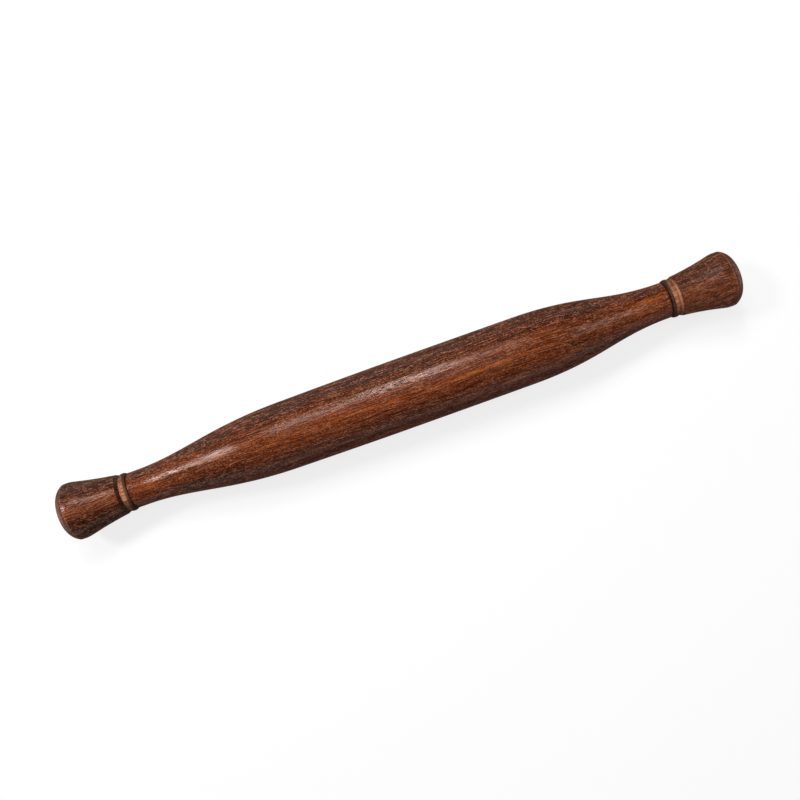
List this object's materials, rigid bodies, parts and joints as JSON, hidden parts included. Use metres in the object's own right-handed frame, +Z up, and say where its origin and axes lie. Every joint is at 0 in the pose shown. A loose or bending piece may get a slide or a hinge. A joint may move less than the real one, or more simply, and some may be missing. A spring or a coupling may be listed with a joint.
{
  "type": "rolling pin",
  "caption": "Turned dark hardwood rolling pin: a roller that narrows to slim necks, with a pale wooden collar and a flared end knob on each neck; the knobs revolve on the roller.",
  "frame": {"origin": "the middle of the pin's axis, half way between the two knob ends", "axes": "+X along the pin towards the right knob, +Z up with the pin lying on its roller"},
  "size_m": [0.356, 0.0352, 0.0352],
  "materials": {
    "roller_wood": "satin",
    "knob_wood": "satin",
    "collar_wood": "matte",
    "steel": "satin"
  },
  "bodies": {
    "roller_body": {"roller": "roller_wood", "left_collar": "collar_wood", "right_collar": "collar_wood", "left_shoulder_screw": "steel", "right_shoulder_screw": "steel", "left_washer": "steel", "right_washer": "steel"},
    "left_grip": {"left_knob": "knob_wood", "left_plug": "knob_wood"},
    "right_grip": {"right_knob": "knob_wood", "right_plug": "knob_wood"}
  },
  "joints": [
    {"name": "left_knob_spin", "type": "hinge", "parent": "roller_body", "child": "left_grip", "pos_m": [-0.161, 0, 0], "axis": [1, 0, 0], "continuous": true},
    {"name": "right_knob_spin", "type": "hinge", "parent": "roller_body", "child": "right_grip", "pos_m": [0.161, 0, 0], "axis": [1, 0, 0], "continuous": true}
  ]
}
